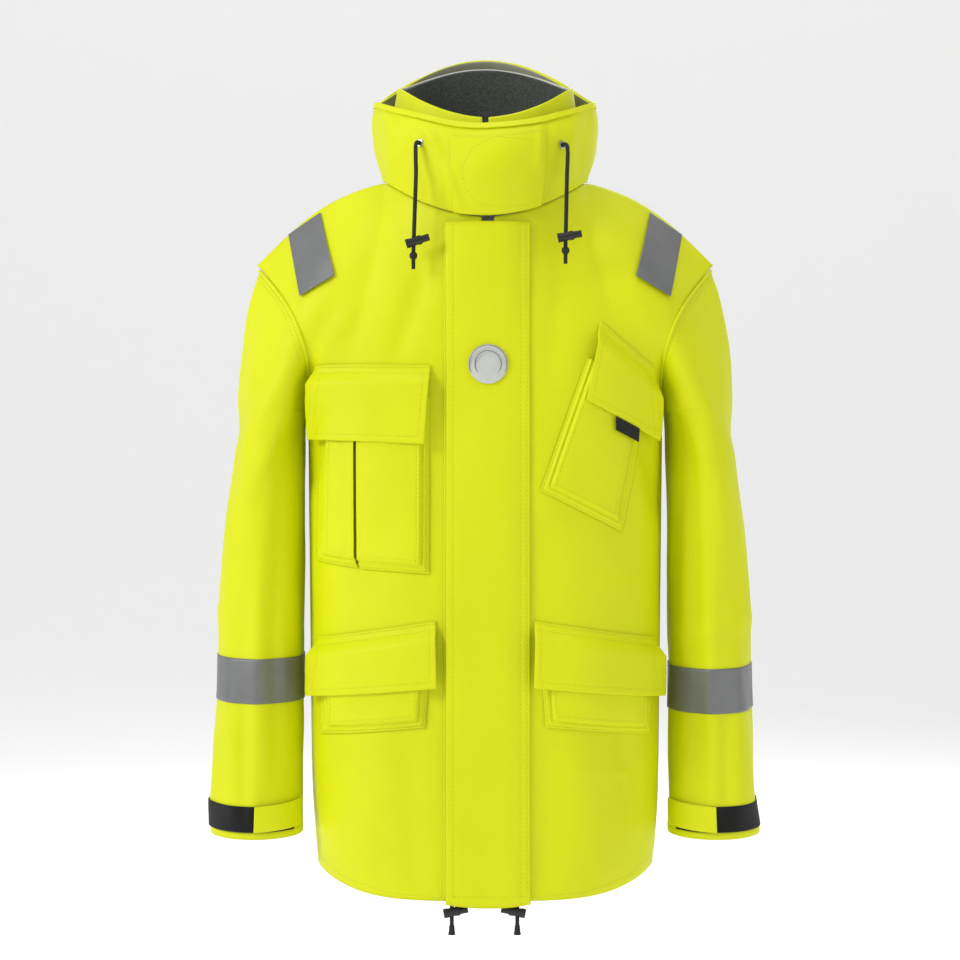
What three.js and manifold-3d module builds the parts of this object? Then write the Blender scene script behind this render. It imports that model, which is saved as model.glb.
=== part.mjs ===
// A hooded foul weather jacket, as worn, with its collar open and its hood down.
// Millimetres. +Z is up and the front faces -Y. The origin is the middle of the neck opening, level
// with the back neck seam. "right" and "left" are the wearer's: right is the -X side.
import * as THREE from "three";
import { mergeVertices } from "three/addons/utils/BufferGeometryUtils.js";
import Module from "manifold-3d";

const wasm = await Module();
wasm.setup();

// Driving sizes
const fabric = 1.6; // shell fabric with its lining
const flapFabric = 2.2; // two layers of shell fabric
const layerGap = 0.6; // clear space between two layers
const frontCentre = 3; // x of the zip
const body = {
  chestHalfWidth: 202,
  hemHalfWidth: 196,
  hemPull: 16,
  hemPullHeight: 75,
  squareness: 2.6,
  underarmZ: -296,
  hemFrontZ: -842,
  hemSideRise: 30,
  frontLean: 0.0505,
  backFullness: 66,
  shoulderX: 262,
  shoulderZ: -133,
  shoulderCrown: 18,
  armholeDepth: 90,
};
const neck = { half: 114, front: -112, back: 72, sideY: -20, frontZ: -86, sideZ: -40, backZ: -12 };
const sleeve = {
  capEndZ: -345,
  cuffZ: -778,
  innerX: 207,
  outerTopX: 288,
  outerCuffX: 314,
  topDepth: 80,
  cuffDepth: 50,
  forward: 30,
  cuffTilt: 0.12,
  seamGap: 0.8,
};
const tapeWidth = 50;
const tapeThickness = 0.7;
const stripWidth = 29; // hook-and-loop strip
const stripThickness = 1.2;
const stormFlap = { rightX: -43, leftX: 49, topZ: -92, drop: 9, lift: 5.8 };
const zip = { topZ: -96, gapHalf: 7, tapeHalf: 14, beadIn: 1.2, beadOut: 3.4 };
const pocketDepth = 9;
const cordDiameter = 4.5;
const cordHole = cordDiameter / 2 + 0.35; // radius of a hole that the cord runs through
const lock = { radius: 5.25, length: 18, wall: 0.9, fit: 0.35, out: 9, travel: 4.5 };

const group = new THREE.Group();
const V = (x, y, z) => new THREE.Vector3(x, y, z);
const { lerp, smoothstep, degToRad } = THREE.MathUtils;

const colours = {
  shell: [0xdfe500, 0.62, 0],
  lining: [0x34372f, 0.95, 0],
  tape: [0x8d8f90, 0.4, 0.1],
  black: [0x111111, 0.8, 0],
  metal: [0xa9b39c, 0.35, 0.8],
  badge: [0xe9e9e6, 0.6, 0],
};

function add(name, geometry, colour, parent = group) {
  const [color, roughness, metalness] = colours[colour];
  const mesh = new THREE.Mesh(
    geometry,
    new THREE.MeshStandardMaterial({ color, roughness, metalness }),
  );
  mesh.name = name;
  parent.add(mesh);
  return mesh;
}

// A closed geometry from points and triangles, turned to face outwards.
function closed(points, triangles) {
  const volume = triangles.reduce(
    (sum, [a, b, c]) => sum + points[a].dot(points[b].clone().cross(points[c])),
    0,
  );
  const index = triangles.flatMap(([a, b, c]) => (volume < 0 ? [a, c, b] : [a, b, c]));
  const geometry = new THREE.BufferGeometry();
  geometry.setAttribute(
    "position",
    new THREE.Float32BufferAttribute(points.flatMap((p) => p.toArray()), 3),
  );
  geometry.setIndex(index);
  return geometry;
}

// The outward unit normal of a surface at (u, v); "centre" is a point inside, near that height.
function normalAt(surface, u, v, centre, wrap) {
  const step = 0.004;
  const u0 = wrap ? u - step : Math.max(0, u - step);
  const u1 = wrap ? u + step : Math.min(1, u + step);
  const along = surface(u1, v).sub(surface(u0, v));
  const up = surface(u, Math.min(1, v + step)).sub(surface(u, Math.max(0, v - step)));
  const normal = along.cross(up).normalize();
  const point = surface(u, v);
  return normal.dot(point.sub(centre(point))) < 0 ? normal.negate() : normal;
}

const bodyCentre = (p) => V(0, 0, p.z);

// A layer of cloth: the surface lifted by "lift" along its normal, and "thick" thick.
function layer(surface, options) {
  const { nu, nv, thick = fabric, wrap = false, centre = bodyCentre } = options;
  const lift = options.lift ?? 0;
  const liftAt = typeof lift === "function" ? lift : () => lift;
  const columns = wrap ? nu : nu + 1;
  const rows = nv + 1;
  const points = [];
  for (const side of [0, thick])
    for (let j = 0; j < rows; j++)
      for (let i = 0; i < columns; i++) {
        const [u, v] = [i / nu, j / nv];
        const normal = normalAt(surface, u, v, centre, wrap);
        points.push(surface(u, v).addScaledVector(normal, liftAt(u, v) + side));
      }
  const at = (side, i, j) => side * rows * columns + j * columns + (i % columns);
  const triangles = [];
  const quad = (a, b, c, d) => triangles.push([a, b, c], [a, c, d]);
  for (let j = 0; j < nv; j++)
    for (let i = 0; i < nu; i++) {
      quad(at(1, i, j), at(1, i + 1, j), at(1, i + 1, j + 1), at(1, i, j + 1));
      quad(at(0, i, j + 1), at(0, i + 1, j + 1), at(0, i + 1, j), at(0, i, j));
    }
  for (let i = 0; i < nu; i++) {
    quad(at(0, i, 0), at(0, i + 1, 0), at(1, i + 1, 0), at(1, i, 0));
    quad(at(1, i, nv), at(1, i + 1, nv), at(0, i + 1, nv), at(0, i, nv));
  }
  if (!wrap)
    for (let j = 0; j < nv; j++) {
      quad(at(1, 0, j), at(1, 0, j + 1), at(0, 0, j + 1), at(0, 0, j));
      quad(at(0, nu, j), at(0, nu, j + 1), at(1, nu, j + 1), at(1, nu, j));
    }
  return closed(points, triangles);
}

// Solids, for the pieces that are cut or joined
function solid(geometry, matrix = new THREE.Matrix4()) {
  const g = geometry.clone().applyMatrix4(matrix);
  g.deleteAttribute("normal");
  g.deleteAttribute("uv");
  const merged = mergeVertices(g, 1e-4);
  return new wasm.Manifold(
    new wasm.Mesh({
      numProp: 3,
      vertProperties: merged.attributes.position.array,
      triVerts: new Uint32Array(merged.index.array),
    }),
  );
}

function geometryOf(manifold) {
  const { vertProperties, triVerts } = manifold.getMesh();
  const geometry = new THREE.BufferGeometry();
  geometry.setAttribute("position", new THREE.BufferAttribute(vertProperties.slice(), 3));
  geometry.setIndex(new THREE.BufferAttribute(triVerts.slice(), 1));
  return geometry;
}

const moved = (x, y, z) => new THREE.Matrix4().makeTranslation(x, y, z);
const box = (w, d, h, x = 0, y = 0, z = 0) => solid(new THREE.BoxGeometry(w, d, h), moved(x, y, z));

// The body's surface. An angle of 0 is the front centre, PI / 2 the side and PI the back centre.
function halfWidth(z) {
  const down = THREE.MathUtils.clamp((body.underarmZ - z) / (body.underarmZ - body.hemFrontZ), 0, 1);
  const pull = THREE.MathUtils.clamp(1 - (z - body.hemFrontZ) / body.hemPullHeight, 0, 1);
  return lerp(body.chestHalfWidth, body.hemHalfWidth, down) - body.hemPull * pull * pull;
}

const frontDepth = (z) => -neck.front + body.frontLean * (neck.frontZ - z);
const backDepth = (z) =>
  neck.back + body.backFullness * (1 - Math.exp(-Math.max(0, neck.backZ - z) / 140));

function ringPoint(angle, z) {
  const power = 2 / body.squareness;
  const across = Math.abs(Math.sin(angle)) ** power;
  const deep = Math.abs(Math.cos(angle)) ** power;
  const y = angle < Math.PI / 2 ? -frontDepth(z) * deep : backDepth(z) * deep;
  return V(halfWidth(z) * across, y, z);
}

const hemZ = (angle) => body.hemFrontZ + body.hemSideRise * Math.sin(angle) ** 4;

// An oval ring round the neck, such as a seam or a rim. An angle of 0 is the front, PI the back.
function ovalPoint(ring, angle) {
  const c = Math.cos(angle);
  const end = c > 0 ? ring.front : ring.back;
  const endZ = c > 0 ? ring.frontZ : ring.backZ;
  return V(
    ring.half * Math.sin(angle),
    ring.sideY + (end - ring.sideY) * Math.abs(c),
    ring.sideZ + (endZ - ring.sideZ) * c * c,
  );
}

function shoulderPoint(w) {
  const z = lerp(neck.sideZ, body.shoulderZ, w) + body.shoulderCrown * Math.sin(Math.PI * w);
  return V(lerp(neck.half, body.shoulderX, w), lerp(neck.sideY, 0, w), z);
}

// The armhole's front (side -1) or back (side 1) edge, from the underarm (w 0) to the shoulder.
function armholePoint(side, w) {
  const bow = Math.max(0, Math.sin(Math.PI * w));
  return V(
    lerp(body.chestHalfWidth, body.shoulderX, w * w) - 12 * bow,
    side * body.armholeDepth * bow ** 1.2,
    lerp(body.underarmZ, body.shoulderZ, w),
  );
}

function topEdge(side, s) {
  if (s > 0.5) return shoulderPoint(2 * s - 1);
  return ovalPoint(neck, side < 0 ? s * Math.PI : Math.PI - s * Math.PI);
}

// A cubic between two points with their tangents.
function hermite(a, ta, b, tb, t) {
  const [t2, t3] = [t * t, t * t * t];
  return V(0, 0, 0)
    .addScaledVector(a, 2 * t3 - 3 * t2 + 1)
    .addScaledVector(ta, t3 - 2 * t2 + t)
    .addScaledVector(b, 3 * t2 - 2 * t3)
    .addScaledVector(tb, t3 - t2);
}

function upperRaw(side, s, t) {
  const angle = side < 0 ? (s * Math.PI) / 2 : Math.PI - (s * Math.PI) / 2;
  const bottom = ringPoint(angle, body.underarmZ);
  const top = topEdge(side, s);
  const rise = top.distanceTo(bottom);
  const away = smoothstep(s, 0.1, 0.6);
  const centreIn = side < 0 ? body.frontLean : 0.5;
  const topTangent = V(0, -side * rise * lerp(centreIn, 0.45, away), rise * lerp(1, 0.1, away));
  const bottomIn = side < 0 ? body.frontLean * Math.cos(angle) : 0;
  return hermite(bottom, V(0, rise * bottomIn, rise), top, topTangent, t);
}

// s runs from the centre to the side; h from the hem (0) to the underarm (1) to the shoulder (2).
function panelPoint(side, s, h) {
  if (h <= 1) {
    const angle = side < 0 ? (s * Math.PI) / 2 : Math.PI - (s * Math.PI) / 2;
    return ringPoint(angle, lerp(hemZ(angle), body.underarmZ, h));
  }
  const t = Math.min(1, h - 1);
  const centreTop = topEdge(side, 0);
  const z = lerp(body.underarmZ, centreTop.z, t);
  const centre = V(0, side < 0 ? -frontDepth(z) : backDepth(z), z);
  const point = upperRaw(side, s, t);
  point.addScaledVector(centre.sub(upperRaw(side, 0, t)), (1 - s) * (1 - s));
  point.addScaledVector(armholePoint(side, t).sub(upperRaw(side, 1, t)), s * s);
  return point;
}

const mirrored = (p, x) => V(p.x * x, p.y, p.z);

// The front at (x, z): its point and outward normal, found by a few Newton steps.
function frontParameters(x, z) {
  const ax = Math.abs(x);
  let s = (2 / Math.PI) * Math.asin(Math.min(0.98, (ax / body.chestHalfWidth) ** 1.3));
  let h = z < body.underarmZ ? (z - body.hemFrontZ) / (body.underarmZ - body.hemFrontZ) : 1.4;
  const step = 1e-3;
  for (let k = 0; k < 24; k++) {
    const p = panelPoint(-1, s, h);
    const ps = panelPoint(-1, s + step, h).sub(p);
    const ph = panelPoint(-1, s, h + step).sub(p);
    const det = ps.x * ph.z - ps.z * ph.x;
    const [dx, dz] = [ax - p.x, z - p.z];
    s = THREE.MathUtils.clamp(s + (step * 0.7 * (dx * ph.z - dz * ph.x)) / det, 0.0005, 0.998);
    h = THREE.MathUtils.clamp(h + (step * 0.7 * (ps.x * dz - ps.z * dx)) / det, 0, 1.998);
  }
  return [s, h];
}

const frontSurface = (x, z) => V(x, panelPoint(-1, ...frontParameters(x, z)).y, z);

// A quadrilateral of cloth on the front, from its corners in (x, z): bottom then top.
function frontQuad([ax, az], [bx, bz], [cx, cz], [dx, dz]) {
  return (u, v) =>
    frontSurface(
      lerp(lerp(ax, bx, u), lerp(dx, cx, u), v),
      lerp(lerp(az, bz, u), lerp(dz, cz, u), v),
    );
}

// Body panels
const edge = 0.0016; // share of a panel's width that each seam leaves open

function frontPanel(x) {
  const insideX = x < 0 ? zip.gapHalf - frontCentre : zip.gapHalf + frontCentre;
  return (u, v) => {
    const h = Math.min(2 * v, 1.997);
    const height = [lerp(body.hemFrontZ, body.underarmZ, h), lerp(body.underarmZ, neck.frontZ, h - 1)];
    const [start] = frontParameters(insideX, height[h < 1 ? 0 : 1]);
    return mirrored(panelPoint(-1, lerp(start, 1 - edge, u), h), x);
  };
}

function backPanel(u, v) {
  const across = 2 * u - 1;
  const s = Math.min(1 - edge, Math.abs(across));
  return mirrored(panelPoint(1, s, Math.min(2 * v, 1.997)), across < 0 ? -1 : 1);
}

add("front_panel_right", layer(frontPanel(-1), { nu: 12, nv: 14 }), "shell");
add("front_panel_left", layer(frontPanel(1), { nu: 12, nv: 14 }), "shell");
add("back_panel", layer(backPanel, { nu: 18, nv: 14 }), "shell");

// The facing inside the hem that makes the channel for its drawcord
const channelHeight = 22;
const channelSurface = (u, v) => {
  const share = lerp(-0.96, 0.96, u);
  const angle = Math.PI * (1 - Math.abs(share));
  const z = hemZ(angle) + lerp(1.5, channelHeight, v);
  return mirrored(ringPoint(angle, z), share < 0 ? -1 : 1);
};
add(
  "hem_channel",
  layer(channelSurface, { nu: 36, nv: 1, thick: 1, lift: -fabric - 3 }),
  "shell",
);

// Sleeves
function sleeveRing(psi, z) {
  const down = (sleeve.capEndZ - z) / (sleeve.capEndZ - sleeve.cuffZ);
  const outer = lerp(sleeve.outerTopX, sleeve.outerCuffX, down);
  const half = (outer - sleeve.innerX) / 2;
  const angle = 2 * Math.PI * psi;
  const deep = lerp(sleeve.topDepth, sleeve.cuffDepth, down);
  const y = 4 - sleeve.forward * down * down - deep * Math.sin(angle);
  const tilt = sleeve.cuffTilt * down * deep * Math.sin(angle);
  return V(sleeve.innerX + half + half * Math.cos(angle), y, z - tilt);
}

const sleeveCentre = (p) => V(Math.sign(p.x) * 252, 0, Math.min(p.z, -200));
const capOut = V(170, 0, -62).normalize();

// psi runs round the sleeve from the shoulder by the front and the underarm to the back;
// m runs from the armhole (0) to the end of the cap (1) to the cuff (2).
function sleevePoint(psi, m) {
  if (m > 1) return sleeveRing(psi, lerp(sleeve.capEndZ, sleeve.cuffZ, m - 1));
  const turn = ((psi % 1) + 1) % 1;
  const loop = turn < 0.5 ? armholePoint(-1, 1 - 2 * turn) : armholePoint(1, 2 * turn - 1);
  loop.addScaledVector(capOut, fabric + sleeve.seamGap);
  const end = sleeveRing(psi, sleeve.capEndZ);
  const length = loop.distanceTo(end);
  return hermite(loop, V(0.35 * length, 0, -0.8 * length), end, V(0, 0, -length), m);
}

function makeSleeve(side, name, tapeZ) {
  const surface = (u, v) => mirrored(sleevePoint(u, 2 * v), side);
  const round = { wrap: true, centre: sleeveCentre };
  add(`sleeve_${name}`, layer(surface, { nu: 20, nv: 11, lift: -fabric, ...round }), "shell");
  const band = (from, to, z0, z1) => (u, v) =>
    mirrored(sleeveRing(lerp(from, to, u), lerp(z1, z0, v)), side);
  add(
    `sleeve_tape_${name}`,
    layer(band(0, 1, tapeZ, tapeZ - tapeWidth), {
      nu: 20, nv: 1, thick: tapeThickness, lift: layerGap, ...round,
    }),
    "tape",
  );
  const stripTop = sleeve.cuffZ + 8 + stripWidth;
  add(
    `cuff_strip_${name}`,
    layer(band(-0.1, 0.4, stripTop, stripTop - stripWidth), {
      nu: 10, nv: 1, thick: stripThickness, lift: layerGap, centre: sleeveCentre,
    }),
    "black",
  );
  // The tab lies over the strip, from its sewn end near the body to its free end at the front.
  const tab = (u, v) => {
    const z = stripTop - lerp(stripWidth, 0, v) - 4 * u + 4;
    return mirrored(sleeveRing(lerp(0.44, 0.25, u), z), side);
  };
  const overStrip = stripThickness + layerGap;
  const tabLift = (u) => layerGap + 0.5 + overStrip * smoothstep(u, 0.02, 0.3);
  add(
    `cuff_tab_${name}`,
    layer(tab, { nu: 6, nv: 1, thick: flapFabric, lift: tabLift, centre: sleeveCentre }),
    "shell",
  );
}
makeSleeve(-1, "right", sleeve.cuffZ + 201);
makeSleeve(1, "left", sleeve.cuffZ + 190);

// Shoulder reflective tape, on each front by the armhole
for (const [side, name] of [[-1, "right"], [1, "left"]]) {
  const quad = frontQuad([side * 206, -174], [side * 168, -151], [side * 187, -75], [side * 224, -99]);
  add(
    `shoulder_tape_${name}`,
    layer(quad, { nu: 5, nv: 6, thick: tapeThickness, lift: fabric + 1.1 }),
    "tape",
  );
}

// Collar and hood, as rings round the neck from the seam up
function ringSurface(rings) {
  return (angle, v) => {
    const points = rings.map((r) => ovalPoint(r, angle));
    return new THREE.CatmullRomCurve3(points).getPoint(v);
  };
}
const collarSurface = ringSurface([
  { half: 112.8, front: -110.8, back: 70.8, sideY: -20, frontZ: -85, sideZ: -38.4, backZ: -10.8 },
  { half: 107, front: -103, back: 74, sideY: -15, frontZ: -30, sideZ: 15, backZ: 46 },
  { half: 100, front: -90, back: 75, sideY: -8, frontZ: 26, sideZ: 70, backZ: 104 },
]);
const hoodRings = [
  { half: 116, front: -114.4, back: 75, sideY: -20, frontZ: -85.2, sideZ: -38.2, backZ: -10.2 },
  { half: 125, front: -129, back: 140, sideY: -6, frontZ: -52, sideZ: -12, backZ: -42 },
  { half: 129, front: -131, back: 170, sideY: 4, frontZ: -18, sideZ: 22, backZ: 18 },
  { half: 128, front: -123, back: 150, sideY: 0, frontZ: 2, sideZ: 40, backZ: 84 },
  { half: 124, front: -113, back: 106, sideY: -4, frontZ: 15, sideZ: 53, backZ: 118 },
];
const hoodSurface = ringSurface(hoodRings);
const neckCentre = (p) => V(0, -20, Math.min(Math.max(p.z, -60), 80) - 20);

const collarOpen = degToRad(2);
const collarPatch = (u, v) => collarSurface(lerp(collarOpen, 2 * Math.PI - collarOpen, u), v);
add("collar_shell", layer(collarPatch, { nu: 26, nv: 3, centre: neckCentre }), "shell");
add(
  "collar_lining",
  layer((u, v) => collarPatch(u, lerp(0.03, 0.985, v)), {
    nu: 26, nv: 3, thick: 2.6, lift: -3.4, centre: neckCentre,
  }),
  "lining",
);
add(
  "hood_shell",
  layer((u, v) => hoodSurface(2 * Math.PI * u, v), { nu: 28, nv: 8, wrap: true, centre: neckCentre }),
  "shell",
);
add(
  "hood_brim",
  layer((u, v) => hoodSurface(2 * Math.PI * u, lerp(0.87, 0.995, v)), {
    nu: 28, nv: 1, wrap: true, thick: 1.4, lift: fabric + layerGap, centre: neckCentre,
  }),
  "shell",
);

// Chin tab, sewn to the hood on the wearer's left, free on the right
const chin = { fromAngle: degToRad(31), toAngle: degToRad(-17), low: 0.01, high: 0.69 };
const chinLift = fabric + layerGap + 0.4;
add(
  "chin_tab",
  layer((u, v) => hoodSurface(lerp(chin.fromAngle, chin.toAngle, u), lerp(chin.low, chin.high, v)), {
    nu: 6, nv: 6, thick: flapFabric, lift: chinLift, centre: neckCentre,
  }),
  "shell",
);

// Inner placket, under the storm flap on the wearer's right
const lean = V(0, body.frontLean, 1).normalize();
const frontOut = V(0, -1, body.frontLean).normalize();
const frontStrip = (x0, x1, z0, z1, sag = 0) => (u, v) => {
  const x = lerp(x0, x1, u);
  return frontSurface(x, lerp(z0, z1, v) - (1 - v) * sag * 4 * u * (1 - u));
};
add(
  "inner_placket",
  layer(frontStrip(-46, frontCentre - 12, body.hemFrontZ + 2, stormFlap.topZ - 2), {
    nu: 3, nv: 9, thick: 1.2, lift: fabric + 0.8,
  }),
  "shell",
);
add(
  "placket_loop_strip",
  layer(frontStrip(-38, -20, body.hemFrontZ + 30, stormFlap.topZ - 30), {
    nu: 2, nv: 9, thick: 0.8, lift: fabric + 2.6,
  }),
  "black",
);

// Storm flap, from its free edge on the right to the line where it is sewn on the left
function flapLift(u) {
  const x = lerp(stormFlap.rightX, stormFlap.leftX, u);
  return lerp(2.4, stormFlap.lift, 1 - smoothstep(x, 26, 44));
}
add(
  "storm_flap",
  layer(
    frontStrip(stormFlap.rightX, stormFlap.leftX, body.hemFrontZ - stormFlap.drop + 6, stormFlap.topZ, 4),
    { nu: 8, nv: 9, thick: flapFabric, lift: flapLift },
  ),
  "shell",
);

// Badge: a plain round patch on the storm flap
const badge = { x: 3, z: -251, radius: 22, thick: 1.2 };
{
  const disc = new THREE.CylinderGeometry(badge.radius, badge.radius, badge.thick, 40);
  const mesh = add("badge", disc, "badge");
  const lift = stormFlap.lift + flapFabric + 0.5 + badge.thick / 2;
  mesh.quaternion.setFromUnitVectors(V(0, 1, 0), frontOut);
  mesh.position.copy(V(badge.x, -frontDepth(badge.z), badge.z)).addScaledVector(frontOut, lift);
}

// Zip: two chains, each a tape with its bead of teeth, the box at the bottom, slider and puller.
// Its own frame has x across, y into the body and z up the front's lean.
const zipGroup = new THREE.Group();
zipGroup.quaternion.setFromUnitVectors(V(0, 0, 1), lean);
zipGroup.position.set(frontCentre, -frontDepth(zip.topZ), zip.topZ);
group.add(zipGroup);
const zipLength = (zip.topZ - body.hemFrontZ - 8) / lean.z;
function zipChain(side) {
  const shape = new THREE.Shape();
  const outline = [
    [zip.beadIn, -0.8], [zip.beadOut, -0.8], [zip.beadOut, 1.6],
    [zip.tapeHalf, 1.6], [zip.tapeHalf, 2.3], [zip.beadIn, 2.3],
  ].map(([x, y]) => new THREE.Vector2(side * x, y));
  shape.setFromPoints(side < 0 ? outline.reverse() : outline);
  const chain = new THREE.ExtrudeGeometry(shape, { depth: zipLength, bevelEnabled: false, steps: 1 });
  return chain.translate(0, 0, -zipLength);
}
add("zip_chain_right", zipChain(-1), "black", zipGroup);
add("zip_chain_left", zipChain(1), "black", zipGroup);
add(
  "zip_box",
  new THREE.BoxGeometry(10, 3.4, 7).translate(0, 0.7, -zipLength - 3.5 - 0.3),
  "black",
  zipGroup,
);

const slider = { width: 11, length: 15, z: -10, plate: 1, frontY: -1.7, backY: 3.2 };
function sliderSolid() {
  const front = box(slider.width, slider.plate, slider.length, 0, slider.frontY, slider.z);
  const back = box(slider.width, slider.plate, slider.length, 0, slider.backY, slider.z);
  const post = box(zip.beadIn * 2 - 0.8, 5.4, 4, 0, 0.75, slider.z + 5);
  const arch = box(2.2, 2.7, 7, 0, -3.5, slider.z + 1);
  const eye = box(4, 1.7, 3.4, 0, -3.3, slider.z + 1);
  return front.add(back).add(post).add(arch).subtract(eye);
}
add("zip_slider", geometryOf(sliderSolid()), "metal", zipGroup);
function pullerSolid() {
  const barZ = slider.z + 1;
  const plate = box(8, 0.9, 34, 0, -3.3, barZ + 0.6 - 17);
  const window = box(3.2, 3, 7, 0, -3.3, barZ - 0.6 - 3.5);
  return plate.subtract(window);
}
add("zip_puller", geometryOf(pullerSolid()), "metal", zipGroup);

// Pockets: a bellows front that stands off the body, open at its mouth under the flap
const flapHigh = pocketDepth + fabric + 2 * layerGap; // how far a flap's lower part stands off

function pocket(name, quad, closedSides) {
  const ramp = 0.09;
  const lift = (u, v) => {
    let share = smoothstep(v, 0, ramp);
    if (closedSides[0]) share *= smoothstep(u, 0, ramp);
    if (closedSides[1]) share *= smoothstep(1 - u, 0, ramp);
    return fabric + layerGap + 0.2 + pocketDepth * share;
  };
  add(name, layer(quad, { nu: 10, nv: 7, thick: fabric, lift }), "shell");
}

function flap(name, quad) {
  const lift = (u, v) => fabric + layerGap + 0.3 + flapHigh * smoothstep(1 - v, 0.03, 0.26);
  add(name, layer(quad, { nu: 10, nv: 6, thick: flapFabric, lift }), "shell");
}

const chestRight = frontQuad([-138, -478], [-62, -483], [-62, -286], [-138, -284]);
const slitRight = frontQuad([-188, -470], [-141, -477], [-141, -287], [-185, -285]);
pocket("chest_pocket_right", chestRight, [false, true]);
pocket("slit_pocket_right", slitRight, [true, false]);
flap("chest_flap_right", frontQuad([-190, -334], [-66, -340], [-60, -252], [-188, -249]));

pocket("chest_pocket_left", frontQuad([60, -391], [153, -437], [182, -286], [113, -243]), [true, true]);
flap("chest_flap_left", frontQuad([108, -290], [186, -336], [188, -252], [127, -202]));
add(
  "flap_pull_tab",
  layer(frontQuad([139, -324], [163, -337], [163, -322], [139, -309]), {
    nu: 4, nv: 2, thick: 1.2, lift: fabric + layerGap + 0.3 + flapHigh + flapFabric,
  }),
  "black",
);

for (const [side, name] of [[-1, "right"], [1, "left"]]) {
  pocket(
    `hip_pocket_${name}`,
    frontQuad([side * 184, -664], [side * 66, -652], [side * 60, -572], [side * 184, -590]),
    [true, true],
  );
  flap(
    `hip_flap_${name}`,
    frontQuad([side * 189, -622], [side * 52, -609], [side * 54, -535], [side * 189, -556]),
  );
}

// Hanger loop: a strap whose ends are sewn inside the back of the collar
{
  const path = new THREE.CatmullRomCurve3([
    V(-32, neck.back - 10.2, -4), V(-24, neck.back - 16, -2), V(0, neck.back - 22, 1),
    V(24, neck.back - 16, -2), V(32, neck.back - 10.2, -4),
  ]);
  const section = new THREE.Shape();
  section.moveTo(-4, -0.8).lineTo(4, -0.8).lineTo(4, 0.8).lineTo(-4, 0.8).closePath();
  const strap = new THREE.ExtrudeGeometry(section, { extrudePath: path, steps: 12, bevelEnabled: false });
  add("hanger_loop", strap, "black");
}

// Drawcords. A cord lock is a barrel with a sprung button; the cord passes through both.
function tube(points) {
  const sides = 8;
  const section = new THREE.Shape();
  for (let k = 0; k < sides; k++) {
    const a = (2 * Math.PI * k) / sides;
    const [x, y] = [(cordDiameter / 2) * Math.cos(a), (cordDiameter / 2) * Math.sin(a)];
    if (k) section.lineTo(x, y);
    else section.moveTo(x, y);
  }
  const path = new THREE.CatmullRomCurve3(points.map((p) => V(...p)));
  const steps = Math.max(2, Math.round(path.getLength() / 10));
  return new THREE.ExtrudeGeometry(section, { extrudePath: path, steps, bevelEnabled: false });
}

const alongX = new THREE.Matrix4().makeRotationZ(-Math.PI / 2);
const cylinderX = (radius, length, x) =>
  solid(new THREE.CylinderGeometry(radius, radius, length, 14), moved(x, 0, 0).multiply(alongX));

// The way for the cord through a lock, long enough for the lock's tilt.
const slotLength = 2 * (cordHole + 1.6);
const cordSlot = (more) => box(slotLength + more, 2 * cordHole, 6 * lock.radius, more / 2, 0, 0);

function barrelSolid() {
  const bore = cylinderX(lock.radius - lock.wall, lock.length, 2);
  return cylinderX(lock.radius, lock.length, 0).subtract(bore).subtract(cordSlot(0));
}

function buttonSolid() {
  const inside = lock.length - 2 - lock.travel - 0.6;
  const start = lock.length / 2 - inside;
  const length = inside + lock.out;
  const radius = lock.radius - lock.wall - lock.fit;
  return cylinderX(radius, length, start + length / 2).subtract(cordSlot(lock.travel));
}

// The lock's frame: x along the barrel to the button, z along the cord.
function cordLock(name, position, tilt, facing) {
  const frame = new THREE.Group();
  frame.position.set(...position);
  frame.rotation.set(0, degToRad(-tilt), facing < 0 ? Math.PI : 0, "YXZ");
  group.add(frame);
  add(`${name}_barrel`, geometryOf(barrelSolid()), "black", frame);
  add(`${name}_button`, geometryOf(buttonSolid()), "black", frame);
}

function cordEnd(name, position, bell) {
  const outline = bell
    ? [[0, 0], [2.6, 0], [3, -2], [3.4, -7], [4.2, -11], [0, -11]]
    : [[0, 0], [2.4, 0], [4.3, -2.2], [4.5, -4.5], [4, -6.8], [2.3, -8.4], [2.2, -19], [0, -19]];
  const profile = outline.reverse().map(([r, z]) => new THREE.Vector2(r, z));
  const end = new THREE.LatheGeometry(profile, 14).rotateX(Math.PI / 2);
  const mesh = add(name, end, "black");
  mesh.position.set(...position);
}

function eyelet(name, angle, v) {
  const at = (w) => hoodSurface(angle, w);
  const turns = angle / (2 * Math.PI);
  const normal = normalAt((t, w) => hoodSurface(t * 2 * Math.PI, w), turns, v, neckCentre, true);
  const hole = cordHole + 0.1;
  const rim = hole + 2.1;
  const profile = [[hole, 0], [rim, 0], [rim, 0.5], [rim - 0.9, 1.1], [hole, 1.1], [hole, 0]];
  const ring = new THREE.LatheGeometry(profile.map(([r, h]) => new THREE.Vector2(r, h)), 20);
  const mesh = add(name, ring, "metal");
  mesh.quaternion.setFromUnitVectors(V(0, 1, 0), normal);
  mesh.position.copy(at(v)).addScaledVector(normal, fabric + 0.2);
}

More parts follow.
